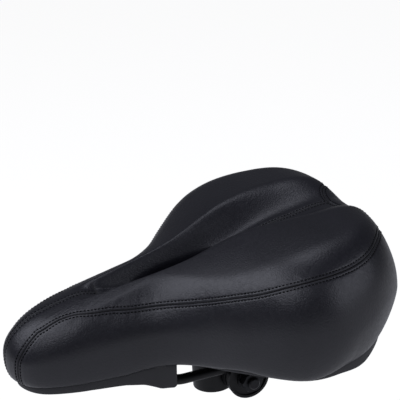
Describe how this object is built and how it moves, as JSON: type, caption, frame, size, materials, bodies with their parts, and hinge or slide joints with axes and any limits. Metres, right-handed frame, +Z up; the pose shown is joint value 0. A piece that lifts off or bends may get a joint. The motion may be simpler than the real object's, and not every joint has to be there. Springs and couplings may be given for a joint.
{
  "type": "bicycle saddle",
  "caption": "Wide padded bicycle saddle with a pressure-relief channel and cut-out, on steel rails with a serrated clamp for a plain seat post.",
  "frame": {"origin": "on the axis of the seat post bore, at the height of the clamp bolt", "axes": "+X forward to the nose, +Y to the rider's left, +Z up along the seat post"},
  "size_m": [0.2617, 0.2052, 0.1258],
  "materials": {
    "top_leather": "semi-matte grained synthetic leather",
    "side_leather": "semi-matte grained synthetic leather",
    "moulded_base": "moulded polypropylene",
    "painted_steel": "semi-gloss black paint",
    "black_zinc": "black zinc plating",
    "foam": "open-cell foam",
    "gel": "soft gel"
  },
  "bodies": {
    "post_clamp": {"post_band": "painted_steel", "clamp_bolt": "black_zinc"},
    "cradle": {"inner_plate_left": "painted_steel", "inner_plate_right": "painted_steel"},
    "left_jaw": {"outer_plate_left": "painted_steel", "washer_left": "black_zinc"},
    "right_jaw": {"outer_plate_right": "painted_steel", "washer_right": "black_zinc"},
    "left_nut": {"nut_left": "black_zinc"},
    "right_nut": {"nut_right": "black_zinc"},
    "seat": {"seat_rails": "painted_steel", "nose_bracket": "moulded_base", "rear_bridge": "moulded_base", "carrier_screws": "black_zinc", "base_pan": "moulded_base", "foam_pad": "foam", "gel_insert_left": "gel", "gel_insert_right": "gel", "cover_top_left": "top_leather", "cover_top_right": "top_leather", "cover_side_left": "side_leather", "cover_side_right": "side_leather", "cover_rear": "side_leather", "channel_lining": "top_leather"}
  },
  "joints": [
    {"name": "seat_tilt", "type": "hinge", "parent": "post_clamp", "child": "cradle", "pos_m": [-0.0155, 0, 0], "axis": [0, 1, 0], "range_deg": [-20, 20]},
    {"name": "rail_slide", "type": "slide", "parent": "cradle", "child": "seat", "axis": [1, 0, 0], "range_m": [-0.02, 0.02]},
    {"name": "left_jaw_open", "type": "slide", "parent": "cradle", "child": "left_jaw", "axis": [0, 1, 0], "range_m": [0, 0.0025]},
    {"name": "right_jaw_open", "type": "slide", "parent": "cradle", "child": "right_jaw", "axis": [0, -1, 0], "range_m": [0, 0.0025]},
    {"name": "left_nut_turn", "type": "hinge", "parent": "left_jaw", "child": "left_nut", "pos_m": [-0.0155, 0.03, 0], "axis": [0, 1, 0], "range_deg": [0, 720]},
    {"name": "right_nut_turn", "type": "hinge", "parent": "right_jaw", "child": "right_nut", "pos_m": [-0.0155, -0.03, 0], "axis": [0, -1, 0], "range_deg": [0, 720]}
  ],
  "couplings": [
    {"joint": "left_jaw_open", "follows": "left_nut_turn", "m_per_rad": 0.0001989},
    {"joint": "right_jaw_open", "follows": "right_nut_turn", "m_per_rad": 0.0001989}
  ]
}
